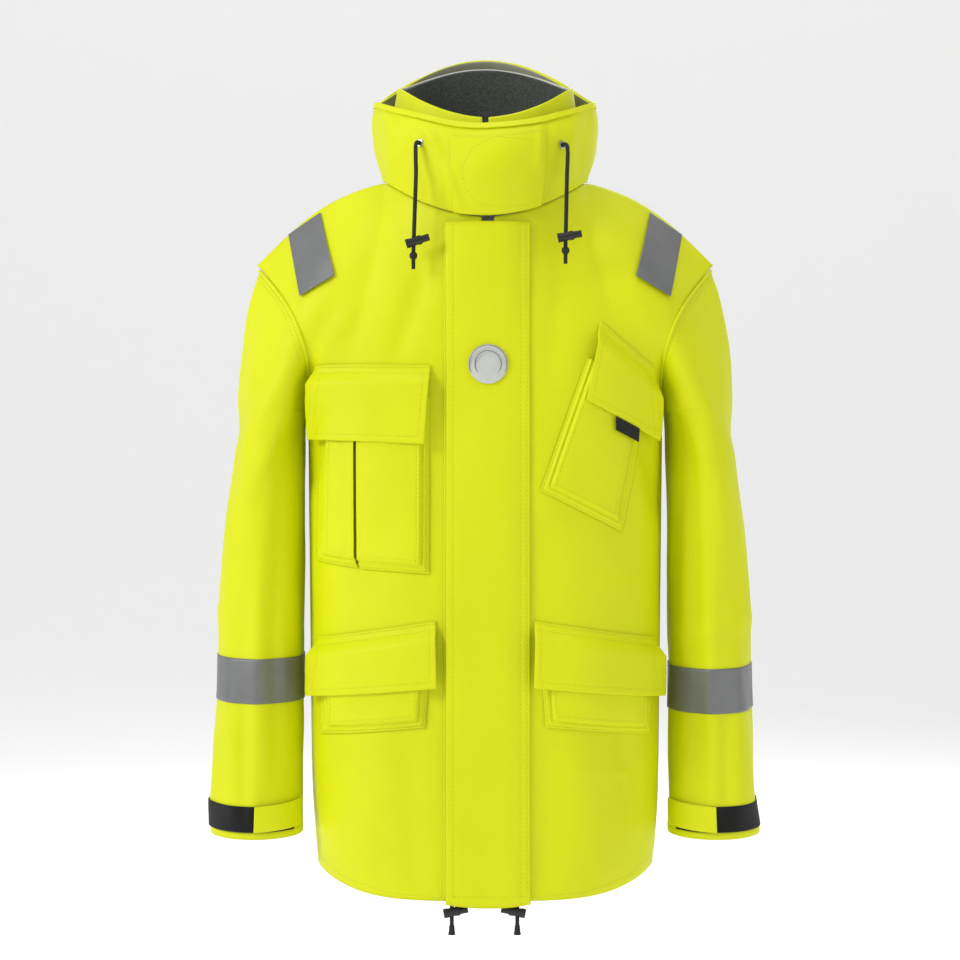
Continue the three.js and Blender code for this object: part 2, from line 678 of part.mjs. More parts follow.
const hoodCords = [
  {
    name: "right", angle: degToRad(-34), v: 0.515, lockZ: -115, tilt: 17, facing: 1,
    points: [
      [-73.4, -109.7, -3.8], [-75.4, -112.8, -3.4], [-77, -116.8, -5.6], [-77.4, -119.8, -13],
      [-77.2, -121.6, -26], [-77, -122.4, -42], [-78.4, -123.4, -84], [-79.8, -124.4, -126],
    ],
  },
  {
    name: "left", angle: degToRad(41), v: 0.465, lockZ: -109, tilt: 11, facing: 1,
    points: [
      [86, -100.2, -4.9], [88.6, -103.2, -4.7], [90.8, -107.4, -6.6], [91.6, -111.2, -14],
      [91.2, -114.2, -27], [90.6, -115.8, -42], [89.7, -118.6, -81], [88.8, -121.4, -120],
    ],
  },
];
for (const cord of hoodCords) {
  eyelet(`hood_eyelet_${cord.name}`, cord.angle, cord.v);
  add(`hood_cord_${cord.name}`, tube(cord.points), "black");
  const [before, last] = cord.points.slice(-2).map((p) => V(...p));
  const share = (cord.lockZ - before.z) / (last.z - before.z);
  const centre = before.clone().lerp(last, share);
  cordLock(`hood_lock_${cord.name}`, centre.toArray(), cord.tilt, cord.facing);
  cordEnd(`hood_knot_${cord.name}`, [last.x, last.y, last.z - 0.3], false);
}

const hemCord = { y: -frontDepth(body.hemFrontZ) - 0.2, top: body.hemFrontZ - 0.4, lockDrop: 11.5 };
for (const [name, x, tilt, facing] of [["right", -37, 11, 1], ["left", 35, -11, -1]]) {
  const points = [0, -8, -16, -25].map((dz) => [x, hemCord.y, hemCord.top + dz]);
  add(`hem_cord_${name}`, tube(points), "black");
  cordLock(`hem_lock_${name}`, [x, hemCord.y, hemCord.top - hemCord.lockDrop], tilt, facing);
  cordEnd(`hem_cord_end_${name}`, [x, hemCord.y, points.at(-1)[2] - 0.3], true);
}

export default group;
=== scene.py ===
import math

import bmesh
import bpy
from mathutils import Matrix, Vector, noise
from mathutils.bvhtree import BVHTree
from mathutils.kdtree import KDTree


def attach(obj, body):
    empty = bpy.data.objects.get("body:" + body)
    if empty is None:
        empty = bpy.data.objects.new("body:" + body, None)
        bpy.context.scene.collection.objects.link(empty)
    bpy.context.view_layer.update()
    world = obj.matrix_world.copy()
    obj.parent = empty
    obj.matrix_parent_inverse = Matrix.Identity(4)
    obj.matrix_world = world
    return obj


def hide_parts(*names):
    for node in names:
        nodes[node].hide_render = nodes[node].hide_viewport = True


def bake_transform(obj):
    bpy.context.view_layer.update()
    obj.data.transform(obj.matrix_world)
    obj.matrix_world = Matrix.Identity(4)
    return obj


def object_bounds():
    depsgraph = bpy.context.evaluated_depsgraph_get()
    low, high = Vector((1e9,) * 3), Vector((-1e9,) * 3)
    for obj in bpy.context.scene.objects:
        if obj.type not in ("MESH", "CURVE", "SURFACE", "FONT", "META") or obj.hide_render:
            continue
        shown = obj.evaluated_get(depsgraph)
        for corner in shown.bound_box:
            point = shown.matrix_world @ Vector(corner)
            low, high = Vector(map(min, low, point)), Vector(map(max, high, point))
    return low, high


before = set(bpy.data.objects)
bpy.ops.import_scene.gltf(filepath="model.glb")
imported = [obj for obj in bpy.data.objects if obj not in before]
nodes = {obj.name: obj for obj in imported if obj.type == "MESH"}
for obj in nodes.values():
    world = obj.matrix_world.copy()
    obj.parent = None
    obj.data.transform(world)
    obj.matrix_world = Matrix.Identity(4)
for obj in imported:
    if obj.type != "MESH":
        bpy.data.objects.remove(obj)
cadLow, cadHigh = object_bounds()
mm = 0.001

# Camera, light and floor
camera = {"distance": 3.4, "lens": 110.9, "aimX": -6 * mm, "aimZ": -379 * mm}
lights = [
    # name, place, size, watts
    ("key", (-2.6, -1.7, 1.1), 1.3, 46),
    ("fill", (2.6, -2.0, 0.3), 2.0, 11),
    ("top", (0.0, -0.5, 2.2), 1.3, 20),
    ("back", (0.6, 2.6, 1.2), 2.0, 30),
]
floorDrop = 0.14  # the floor's distance under the lowest piece


def makeCamera():
    data = bpy.data.cameras.new("camera")
    data.lens = camera["lens"]
    obj = bpy.data.objects.new("camera", data)
    obj.location = (camera["aimX"], -camera["distance"], camera["aimZ"])
    obj.rotation_euler = (math.pi / 2, 0, 0)
    bpy.context.scene.collection.objects.link(obj)
    bpy.context.scene.camera = obj


def makeLights():
    target = Vector((0, 0, -0.38))
    for name, place, size, watts in lights:
        data = bpy.data.lights.new(name, "AREA")
        data.size = size
        data.energy = watts
        obj = bpy.data.objects.new(name, data)
        obj.location = place
        obj.rotation_euler = (target - Vector(place)).to_track_quat("-Z", "Y").to_euler()
        bpy.context.scene.collection.objects.link(obj)
    world = bpy.data.worlds.new("studio")
    world.use_nodes = True
    world.node_tree.nodes["Background"].inputs["Color"].default_value = (1, 1, 1, 1)
    world.node_tree.nodes["Background"].inputs["Strength"].default_value = 0.44
    bpy.context.scene.world = world
    bpy.context.scene.view_settings.view_transform = "Standard"


makeCamera()
makeLights()
print("camera and lights")

# Materials. A group each for woven or grained cloth, and for small colour changes.


def newGroup(name, inputs, outputs):
    tree = bpy.data.node_groups.new(name, "ShaderNodeTree")
    for label, value in inputs:
        item = tree.interface.new_socket(label, in_out="INPUT", socket_type="NodeSocketFloat")
        item.default_value = value
    for label in outputs:
        tree.interface.new_socket(label, in_out="OUTPUT", socket_type="NodeSocketFloat")
    return tree, tree.nodes.new("NodeGroupInput"), tree.nodes.new("NodeGroupOutput")


def mathNode(tree, operation, a, b):
    node = tree.nodes.new("ShaderNodeMath")
    node.operation = operation
    for socket, value in zip(node.inputs, (a, b)):
        if isinstance(value, (int, float)):
            socket.default_value = value
        else:
            tree.links.new(value, socket)
    return node.outputs[0]


def makeClothGroup():
    inputs = [("Weave scale", 1400.0), ("Weave", 0.5), ("Grain scale", 420.0), ("Grain", 0.5)]
    tree, given, out = newGroup("clothGrain", inputs, ["Height"])
    coords = tree.nodes.new("ShaderNodeTexCoord").outputs["Object"]
    waves = []
    for direction in ("X", "Z"):
        wave = tree.nodes.new("ShaderNodeTexWave")
        wave.bands_direction = direction
        wave.inputs["Distortion"].default_value = 1.2
        wave.inputs["Detail"].default_value = 1.0
        tree.links.new(coords, wave.inputs["Vector"])
        tree.links.new(given.outputs["Weave scale"], wave.inputs["Scale"])
        waves.append(wave.outputs["Fac"])
    grain = tree.nodes.new("ShaderNodeTexNoise")
    grain.inputs["Detail"].default_value = 5.0
    tree.links.new(coords, grain.inputs["Vector"])
    tree.links.new(given.outputs["Grain scale"], grain.inputs["Scale"])
    weave = mathNode(tree, "MULTIPLY", mathNode(tree, "MULTIPLY", *waves), given.outputs["Weave"])
    rough = mathNode(tree, "MULTIPLY", grain.outputs["Fac"], given.outputs["Grain"])
    tree.links.new(mathNode(tree, "ADD", weave, rough), out.inputs["Height"])
    return tree


def makeMottleGroup():
    tree, given, out = newGroup("mottle", [("Scale", 9.0), ("Contrast", 1.0)], ["Mask"])
    coords = tree.nodes.new("ShaderNodeTexCoord").outputs["Object"]
    cloud = tree.nodes.new("ShaderNodeTexNoise")
    cloud.inputs["Detail"].default_value = 6.0
    cloud.inputs["Roughness"].default_value = 0.62
    tree.links.new(coords, cloud.inputs["Vector"])
    tree.links.new(given.outputs["Scale"], cloud.inputs["Scale"])
    centred = mathNode(tree, "SUBTRACT", cloud.outputs["Fac"], 0.5)
    scaled = mathNode(tree, "MULTIPLY", centred, given.outputs["Contrast"])
    tree.links.new(mathNode(tree, "ADD", scaled, 0.5), out.inputs["Mask"])
    return tree


clothGroup = makeClothGroup()
mottleGroup = makeMottleGroup()


def groupNode(tree, group, values):
    node = tree.nodes.new("ShaderNodeGroup")
    node.node_tree = group
    for label, value in values.items():
        node.inputs[label].default_value = value
    return node.outputs[0]


def makeMaterial(name, look):
    material = bpy.data.materials.new(name)
    material.use_nodes = True
    tree = material.node_tree
    shader = tree.nodes["Principled BSDF"]
    mask = groupNode(tree, mottleGroup, {"Scale": look["mottle"], "Contrast": look["contrast"]})
    colour = tree.nodes.new("ShaderNodeValToRGB")
    colour.color_ramp.elements[0].color = (*look["dark"], 1)
    colour.color_ramp.elements[1].color = (*look["light"], 1)
    tree.links.new(mask, colour.inputs["Fac"])
    tree.links.new(colour.outputs["Color"], shader.inputs["Base Color"])
    spread = tree.nodes.new("ShaderNodeMapRange")
    spread.inputs["To Min"].default_value = look["rough"][0]
    spread.inputs["To Max"].default_value = look["rough"][1]
    tree.links.new(mask, spread.inputs["Value"])
    tree.links.new(spread.outputs["Result"], shader.inputs["Roughness"])
    height = groupNode(tree, clothGroup, {
        "Weave scale": look["weaveScale"], "Weave": look["weave"],
        "Grain scale": look["grainScale"], "Grain": look["grain"],
    })
    bump = tree.nodes.new("ShaderNodeBump")
    bump.inputs["Strength"].default_value = look["bump"]
    bump.inputs["Distance"].default_value = 0.25 * mm
    tree.links.new(height, bump.inputs["Height"])
    tree.links.new(bump.outputs["Normal"], shader.inputs["Normal"])
    shader.inputs["Metallic"].default_value = look.get("metal", 0.0)
    shader.inputs["Sheen Weight"].default_value = look.get("sheen", 0.0)
    shader.inputs["Specular IOR Level"].default_value = look.get("specular", 0.5)
    return material


looks = {
    "shell": {
        "dark": (0.66, 0.715, 0.0), "light": (0.80, 0.84, 0.0), "mottle": 7.0, "contrast": 0.9,
        "rough": (0.50, 0.62), "weaveScale": 900.0, "weave": 0.35, "grainScale": 380.0, "grain": 0.8,
        "bump": 0.22, "specular": 0.32,
    },
    "reverse": {
        "dark": (0.50, 0.51, 0.47), "light": (0.64, 0.64, 0.60), "mottle": 14.0, "contrast": 1.2,
        "rough": (0.75, 0.9), "weaveScale": 700.0, "weave": 0.9, "grainScale": 900.0, "grain": 0.5,
        "bump": 0.5, "specular": 0.2,
    },
    "fleece": {
        "dark": (0.020, 0.023, 0.018), "light": (0.105, 0.115, 0.095), "mottle": 420.0, "contrast": 1.9,
        "rough": (0.9, 1.0), "weaveScale": 500.0, "weave": 0.2, "grainScale": 700.0, "grain": 1.6,
        "bump": 0.9, "sheen": 0.35, "specular": 0.1,
    },
    "tape": {
        "dark": (0.165, 0.168, 0.170), "light": (0.235, 0.238, 0.240), "mottle": 30.0, "contrast": 1.2,
        "rough": (0.36, 0.5), "weaveScale": 1500.0, "weave": 0.3, "grainScale": 2600.0, "grain": 1.2,
        "bump": 0.35, "metal": 0.35,
    },
    "hookAndLoop": {
        "dark": (0.004, 0.004, 0.004), "light": (0.016, 0.016, 0.016), "mottle": 600.0, "contrast": 1.6,
        "rough": (0.85, 1.0), "weaveScale": 650.0, "weave": 1.0, "grainScale": 1500.0, "grain": 1.8,
        "bump": 1.0, "sheen": 0.15, "specular": 0.2,
    },
    "webbing": {
        "dark": (0.007, 0.007, 0.007), "light": (0.018, 0.018, 0.018), "mottle": 200.0, "contrast": 1.2,
        "rough": (0.6, 0.75), "weaveScale": 560.0, "weave": 1.6, "grainScale": 1500.0, "grain": 0.4,
        "bump": 0.9, "specular": 0.4,
    },
    "cord": {
        "dark": (0.006, 0.006, 0.006), "light": (0.020, 0.020, 0.020), "mottle": 500.0, "contrast": 1.2,
        "rough": (0.55, 0.7), "weaveScale": 1300.0, "weave": 0.6, "grainScale": 2400.0, "grain": 0.7,
        "bump": 0.5, "specular": 0.4,
    },
    "plastic": {
        "dark": (0.009, 0.009, 0.009), "light": (0.016, 0.016, 0.016), "mottle": 90.0, "contrast": 1.2,
        "rough": (0.30, 0.42), "weaveScale": 400.0, "weave": 0.0, "grainScale": 1900.0, "grain": 0.5,
        "bump": 0.12, "specular": 0.5,
    },
    "metal": {
        "dark": (0.36, 0.39, 0.32), "light": (0.62, 0.66, 0.55), "mottle": 140.0, "contrast": 1.3,
        "rough": (0.24, 0.38), "weaveScale": 400.0, "weave": 0.0, "grainScale": 2200.0, "grain": 0.6,
        "bump": 0.15, "metal": 0.9,
    },
    "thread": {
        "dark": (0.50, 0.56, 0.0), "light": (0.74, 0.79, 0.02), "mottle": 900.0, "contrast": 1.3,
        "rough": (0.5, 0.65), "weaveScale": 2600.0, "weave": 0.8, "grainScale": 2600.0, "grain": 0.5,
        "bump": 0.5, "specular": 0.4,
    },
    "badge": {
        "dark": (0.52, 0.54, 0.50), "light": (0.68, 0.70, 0.66), "mottle": 60.0, "contrast": 1.1,
        "rough": (0.45, 0.6), "weaveScale": 1200.0, "weave": 0.8, "grainScale": 2000.0, "grain": 0.5,
        "bump": 0.4,
    },
}
materials = {name: makeMaterial(name, look) for name, look in looks.items()}
print("materials")

# Putting pieces into the scene


def put(bm, name, material, smooth=True):
    for face in bm.faces:
        face.smooth = smooth
    mesh = bpy.data.meshes.new(name)
    bm.to_mesh(mesh)
    bm.free()
    obj = bpy.data.objects.new(name, mesh)
    bpy.context.scene.collection.objects.link(obj)
    obj.data.materials.append(materials[material])
    return obj


def smoothRoute(points, perSpan):
    # A Catmull-Rom line through the points
    spots = [Vector(p) * mm for p in points]
    ends = [spots[0] * 2 - spots[1], *spots, spots[-1] * 2 - spots[-2]]
    line = []
    for a, b, c, d in zip(ends, ends[1:], ends[2:], ends[3:]):
        for step in range(perSpan):
            t = step / perSpan
            line.append(0.5 * (2 * b + (c - a) * t + (2 * a - 5 * b + 4 * c - d) * t ** 2
                               + (3 * b - a - 3 * c + d) * t ** 3))
    return [*line, spots[-1]]


def evenly(points, spacing):
    # The same line, with its points the same distance apart
    lengths = [0.0]
    for a, b in zip(points, points[1:]):
        lengths.append(lengths[-1] + (b - a).length)
    count = max(1, round(lengths[-1] / spacing))
    line, span = [], 0
    for k in range(count + 1):
        want = lengths[-1] * k / count
        while span < len(points) - 2 and lengths[span + 1] < want:
            span += 1
        share = (want - lengths[span]) / max(1e-9, lengths[span + 1] - lengths[span])
        line.append(points[span].lerp(points[span + 1], min(1.0, share)))
    return line, lengths[-1]


# Small soft pieces, each a softened copy of its CAD solid
softSolids = {
    # CAD node: material, slot, body
    "hood_knot_right": ("cord", "drawcord", "torso"), "hood_knot_left": ("cord", "drawcord", "torso"),
    "hem_cord_end_right": ("cord", "drawcord", "torso"), "hem_cord_end_left": ("cord", "drawcord", "torso"),
    "hanger_loop": ("webbing", "webbing", "torso"), "badge": ("badge", "badge_face", "front_flap"),
}


def softCopy(node, material, slotName, body):
    bm = bmesh.new()
    bm.from_mesh(nodes[node].data)
    bmesh.ops.remove_doubles(bm, verts=bm.verts, dist=0.005 * mm)
    obj = put(bm, node + "Soft", material)
    bevel = obj.modifiers.new("soft edge", "BEVEL")
    bevel.width = 0.3 * mm
    bevel.segments = 2
    bevel.limit_method = "ANGLE"
    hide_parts(node)
    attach(obj, body)


for nodeName, softValues in softSolids.items():
    softCopy(nodeName, *softValues)

# Drawcords, braided, each a tube along its route
cordDiameter = 4.5 * mm
braid = {"sides": 24, "ring": 0.55 * mm, "strands": 6, "pitch": 9 * mm, "depth": 0.17 * mm}
cords = {
    "hoodCordRight": {
        "node": "hood_cord_right", "far": "knot", "lay": "hanging",
        "points": [
            (-73.4, -109.7, -3.8), (-75.4, -112.8, -3.4), (-77, -116.8, -5.6), (-77.4, -119.8, -13),
            (-77.2, -121.6, -26), (-77, -122.4, -42), (-78.4, -123.4, -84), (-79.8, -124.4, -126),
        ],
        "with": ["hood_lock_right_barrel", "hood_lock_right_button", "hood_knot_rightSoft"],
    },
    "hoodCordLeft": {
        "node": "hood_cord_left", "far": "knot", "lay": "hanging",
        "points": [
            (86, -100.2, -4.9), (88.6, -103.2, -4.7), (90.8, -107.4, -6.6), (91.6, -111.2, -14),
            (91.2, -114.2, -27), (90.6, -115.8, -42), (89.7, -118.6, -81), (88.8, -121.4, -120),
        ],
        "with": ["hood_lock_left_barrel", "hood_lock_left_button", "hood_knot_leftSoft"],
    },
    "hemCordRight": {
        "node": "hem_cord_right", "far": "fitting", "lay": "hanging",
        "points": [
            (-37, -148.2, -835), (-37, -149.6, -839), (-37, -150.38, -842.4),
            (-37, -150.38, -850.4), (-37, -150.38, -858.4), (-37, -150.38, -867.4),
        ],
        "with": ["hem_lock_right_barrel", "hem_lock_right_button", "hem_cord_end_rightSoft"],
    },
    "hemCordLeft": {
        "node": "hem_cord_left", "far": "fitting", "lay": "hanging",
        "points": [
            (35, -148.2, -835), (35, -149.6, -839), (35, -150.38, -842.4),
            (35, -150.38, -850.4), (35, -150.38, -858.4), (35, -150.38, -867.4),
        ],
        "with": ["hem_lock_left_barrel", "hem_lock_left_button", "hem_cord_end_leftSoft"],
    },
}


def makeCord(name, cord):
    line, length = evenly(smoothRoute(cord["points"], 12), braid["ring"])
    bm = bmesh.new()
    sides = braid["sides"]
    start = bmesh.ops.create_circle(bm, segments=sides, radius=cordDiameter / 2, cap_ends=True)
    ring = start["verts"]
    face = bm.faces[:][0]
    rings = [ring]
    for _ in line[1:]:
        made = bmesh.ops.extrude_discrete_faces(bm, faces=[face])["faces"][0]
        face = made
        rings.append(list(made.verts))
    axis = Vector((1, 0, 0))
    for k, verts in enumerate(rings):
        along = (line[min(k + 1, len(line) - 1)] - line[max(k - 1, 0)]).normalized()
        axis = (axis - along * axis.dot(along)).normalized()
        other = along.cross(axis)
        for i, vert in enumerate(verts):
            turn = 2 * math.pi * i / sides
            twist = 2 * math.pi * k * braid["ring"] / braid["pitch"] * braid["strands"] / 2
            half = braid["strands"]
            over = abs(math.sin((half * turn + twist) / 2) * math.sin((half * turn - twist) / 2))
            radius = cordDiameter / 2 - braid["depth"] * (1 - 2 * over)
            vert.co = line[k] + (axis * math.cos(turn) + other * math.sin(turn)) * radius
    bmesh.ops.recalc_face_normals(bm, faces=bm.faces)
    obj = put(bm, name, "cord")
    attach(obj, "torso")
    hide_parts(cord["node"])


for cordName, cordValues in cords.items():
    makeCord(cordName, cordValues)
print("cords")

# Cloth layers, each from the outer face of its CAD layer


def lengthOf(edge):
    return (edge.verts[0].co - edge.verts[1].co).length


def islandsOf(bm):
    # Kept in the mesh's own order, so that every run gives the same result
    left, found = dict.fromkeys(bm.faces), []
    while left:
        first = next(iter(left))
        del left[first]
        todo, island = [first], []
        while todo:
            face = todo.pop()
            island.append(face)
            for edge in face.edges:
                for other in edge.link_faces:
                    if other in left:
                        del left[other]
                        todo.append(other)
        found.append(island)
    return found


def outwardness(faces, centre):
    total = 0.0
    for face in faces:
        spot = face.calc_center_median()
        total += face.normal.dot(spot - centre(spot)) * face.calc_area()
    return total


def dropDiagonals(bm):
    # A grid of triangles has three directions of edge, and one of them is the diagonals.
    bm.faces.ensure_lookup_table()
    shift, kinds = {}, {0: [], 1: [], 2: []}
    for first in bm.faces:
        if first in shift:
            continue
        shift[first] = 0
        todo = [first]
        while todo:
            face = todo.pop()
            for k, loop in enumerate(face.loops):
                kind = (k + shift[face]) % 3
                kinds[kind].append(loop.edge)
                for other in loop.edge.link_faces:
                    if other not in shift:
                        place = [one.edge for one in other.loops].index(loop.edge)
                        shift[other] = (kind - place) % 3
                        todo.append(other)

    # Diagonals never lie on the edge of the sheet. Where two kinds don't, the longer one is them.
    def score(kind):
        onEdge = sum(e.is_boundary for e in kinds[kind])
        return onEdge, -sum(lengthOf(e) ** 2 for e in kinds[kind])

    bmesh.ops.dissolve_edges(bm, edges=list(dict.fromkeys(kinds[min(kinds, key=score)])), use_verts=False)


def bodyAxis(spot):
    return Vector((0, 0, spot.z))


def sleeveAxis(spot):
    return Vector((math.copysign(0.252, spot.x), 0, min(spot.z, -0.2)))


def neckAxis(spot):
    return Vector((0, -0.02, min(max(spot.z, -0.06), 0.08) - 0.02))


def outerFace(node, centre):
    bm = bmesh.new()
    bm.from_mesh(nodes[node].data)
    bmesh.ops.remove_doubles(bm, verts=bm.verts, dist=0.01 * mm)
    thickest = 3.4 * mm
    rim = [f for f in bm.faces if min(lengthOf(e) for e in f.edges) < thickest]
    bmesh.ops.delete(bm, geom=rim, context="FACES")
    sides = sorted(islandsOf(bm), key=lambda faces: outwardness(faces, centre))
    inner = [face for faces in sides[:-1] for face in faces]
    bmesh.ops.delete(bm, geom=inner, context="FACES")
    dropDiagonals(bm)
    return bm


smoothLevels = 3


def smoothed(bm):
    mesh = bpy.data.meshes.new("smoothing")
    bm.to_mesh(mesh)
    bm.free()
    obj = bpy.data.objects.new("smoothing", mesh)
    bpy.context.scene.collection.objects.link(obj)
    modifier = obj.modifiers.new("smooth", "SUBSURF")
    modifier.levels = modifier.render_levels = smoothLevels
    modifier.boundary_smooth = "PRESERVE_CORNERS"
    bpy.context.view_layer.update()
    fine = obj.evaluated_get(bpy.context.evaluated_depsgraph_get()).to_mesh()
    made = bmesh.new()
    made.from_mesh(fine)
    bpy.data.objects.remove(obj)
    bpy.data.meshes.remove(mesh)
    made.normal_update()
    return made


def halveLong(bm, longer):
    edges = [e for e in bm.edges if lengthOf(e) > longer]
    bmesh.ops.subdivide_edges(bm, edges=edges, cuts=1, use_grid_fill=True)
    bm.normal_update()


def edgeDistances(bm):
    # How far each vertex is from the edge of the sheet
    spots = [v.co.copy() for v in bm.verts if v.is_boundary]
    spots += [(e.verts[0].co + e.verts[1].co) / 2 for e in bm.edges if e.is_boundary]
    tree = KDTree(len(spots))
    for k, spot in enumerate(spots):
        tree.insert(spot, k)
    tree.balance()
    return {v: tree.find(v.co)[2] for v in bm.verts}


def displace(bm, field, calm=0.0):
    # The edges, within the calm distance, stay where their seams hold them
    away = edgeDistances(bm) if calm else None
    moves = [(v, v.normal * field(v.co, v.normal) * (ease(away[v], 0, calm) if calm else 1))
             for v in bm.verts]
    for v, move in moves:
        v.co += move
    bm.normal_update()


def bell(value, centre, width):
    return math.exp(-(((value - centre) / width) ** 2))


def ease(value, start, end):
    t = min(1.0, max(0.0, (value - start) / (end - start)))
    return t * t * (3 - 2 * t)


# A soft fold runs between two points in x and z, with a half width and a height
def foldHeight(spot, folds):
    height = 0.0
    for ax, az, bx, bz, width, rise in folds:
        dx, dz = bx - ax, bz - az
        px, pz = spot.x / mm - ax, spot.z / mm - az
        t = (px * dx + pz * dz) / (dx * dx + dz * dz)
        if -0.3 < t < 1.3:
            away = abs(px * dz - pz * dx) / math.hypot(dx, dz)
            ends = ease(t, -0.3, 0.15) * (1 - ease(t, 0.85, 1.3))
            height += rise * mm * bell(away, 0, width) * ends
    return height


frontFolds = [
    (-178, -300, -196, -380, 9, -2.6), (-150, -190, -205, -270, 12, 2.0),
    (176, -330, 196, -410, 10, -2.4), (165, -170, 208, -262, 13, 2.0),
    (-120, -670, -135, -830, 22, 2.6), (-85, -680, -78, -835, 16, -2.2),
    (105, -690, 128, -820, 22, 2.4), (72, -670, 66, -835, 15, -2.0),
    (150, -650, 172, -790, 12, -2.2), (-165, -650, -178, -780, 12, -1.8),
    (-70, -150, -96, -235, 13, -2.4), (84, -150, 72, -260, 15, -2.0),
    (96, -700, 160, -706, 5, 0.9), (160, -706, 168, -770, 5, 0.9),
]
backFolds = [
    (-60, -80, -130, -230, 16, 3.0), (60, -80, 128, -235, 16, 3.0),
    (-110, -330, -40, -560, 26, 3.4), (100, -320, 52, -590, 24, 3.2),
    (-20, -420, 10, -800, 22, -3.0), (-140, -560, -120, -815, 18, 3.0),
    (138, -540, 118, -815, 20, 3.0),
]


def bodyField(spot, normal):
    slow = noise.noise(Vector((spot.x * 9, spot.y * 9, spot.z * 3.2)))
    quick = noise.noise(Vector((spot.x * 30, spot.y * 30, spot.z * 17 + 4)))
    folds = frontFolds if spot.y < 0 else backFolds
    low = ease(-spot.z, 0.1, 0.3)
    mid = noise.noise(Vector((spot.x * 19, spot.y * 19, spot.z * 6.5 + 7)))
    move = slow * 4.4 * mm + mid * 2.0 * mm + quick * 0.7 * mm
    return move * low + foldHeight(spot, folds) * 1.25


sheets = {}  # piece name: its bmesh, until it is put in the scene


def makeBodySheets():
    for node in ("front_panel_right", "front_panel_left", "back_panel"):
        bm = smoothed(outerFace(node, bodyAxis))
        halveLong(bm, 5.2 * mm)
        displace(bm, bodyField, 26 * mm)
        sheets[node] = bm


makeBodySheets()
print("body sheets", {n: len(b.faces) for n, b in sheets.items()})


def treeOf(*names):
    verts, polygons = [], []
    for name in names:
        bm = sheets[name]
        bm.verts.index_update()
        start = len(verts)
        verts += [v.co.copy() for v in bm.verts]
        polygons += [[v.index + start for v in f.verts] for f in bm.faces]
    return BVHTree.FromPolygons(verts, polygons)


bodyTree = treeOf("front_panel_right", "front_panel_left")


def layOn(bm, tree, lift, outward):
    # Puts each vertex over the nearest spot of the surface below, at its own height
    for v in bm.verts:
        spot, normal, _, _ = tree.find_nearest(v.co)
        if normal.dot(outward(spot)) < 0:
            normal = -normal
        v.co = spot + normal * lift(v)
    bm.normal_update()


def fromBody(spot):
    return spot - bodyAxis(spot)


def fromSleeve(spot):
    return spot - sleeveAxis(spot)


def fromNeck(spot):
    return spot - neckAxis(spot)


def cornersOf(node):
    # The corners in x and z of a four-sided layer, from low x and low z round through high x
    bm = outerFace(node, bodyAxis)
    spots = [v.co.copy() for v in bm.verts if len(v.link_edges) == 2]
    bm.free()
    middle = sum(spots, Vector()) / len(spots)
    spots.sort(key=lambda p: math.atan2(p.z - middle.z, p.x - middle.x))
    return [(p.x, p.z) for p in spots]


def sideDistances(spot, corners):
    # Distances to the bottom side, the side at high x, the top, and the side at low x
    found = []
    for (ax, az), (bx, bz) in zip(corners, corners[1:] + corners[:1]):
        dx, dz = bx - ax, bz - az
        away = ((spot.x - ax) * dz - (spot.z - az) * dx) / math.hypot(dx, dz)
        found.append(abs(away))
    return found


def groove(distance, insets, depth=0.45 * mm, width=0.9 * mm):
    return -depth * sum(bell(distance, inset, width) for inset in insets)


def rolled(distance, radius=1.1 * mm):
    # Cloth rolls over at a turned edge
    return -radius * 0.6 * (1 - ease(distance, 0, radius))


# Pockets and flaps, laid on the front panels at their own heights
pocketLook = {"low": 2.4 * mm, "high": 11.2 * mm, "flange": 4 * mm, "pleat": 11 * mm}


def pocketLift(corners, closed):
    look = pocketLook

    def lift(v):
        bottom, one, top, other = sideDistances(v.co, corners)
        sides = [bottom] + ([one] if closed[0] else []) + ([other] if closed[1] else [])
        near = min(sides)
        flange, pleat = look["flange"], look["pleat"]
        up = 0.52 * ease(near, flange * 0.7, flange * 1.25) + 0.48 * ease(near, pleat * 0.74, pleat)
        dip = -1.5 * mm * bell(near, (flange + pleat) / 2 + 0.6 * mm, 1.4 * mm)
        mouth = groove(top, [9 * mm], 0.3 * mm)
        belly = 1.6 * mm * noise.noise(v.co * 21 + Vector((3, 0, 0)))
        belly *= ease(near, pleat, pleat * 2.4)
        seam = groove(near, [pleat + 3 * mm], 0.4 * mm)
        return look["low"] + (look["high"] - look["low"]) * up + dip + seam + belly + mouth

    return lift


flapLook = {"low": 2.9 * mm, "rise": 12.4 * mm, "from": 3 * mm, "to": 22 * mm}


def flapLift(corners):
    def lift(v):
        bottom, one, top, other = sideDistances(v.co, corners)
        near = min(bottom, one, other)
        lines = groove(top, [2.4 * mm, 9 * mm], 0.5 * mm) + groove(near, [7.5 * mm], 0.35 * mm)
        ripple = 1.3 * mm * noise.noise(v.co * 17 + Vector((0, 5, 0))) * ease(top, 0.02, 0.06)
        up = flapLook["low"] + flapLook["rise"] * ease(top, flapLook["from"], flapLook["to"])
        return up + lines + ripple + rolled(near)

    return lift


def stormLift(v):
    fromFree = v.co.x + 44.5 * mm
    fromSewn = 50 * mm - v.co.x
    low = v.co.z + 848 * mm
    lines = groove(fromSewn, [4 * mm, 11 * mm], 0.5 * mm) + groove(fromFree, [9 * mm], 0.5 * mm)
    lines += groove(low, [12 * mm], 0.4 * mm)
    wave = noise.noise(Vector((v.co.x * 12, 0, v.co.z * 6))) * 1.2 * mm
    chest = 1 - bell(v.co.z, -0.251, 0.04)
    return (lines + wave) * chest + rolled(min(fromFree, fromSewn))


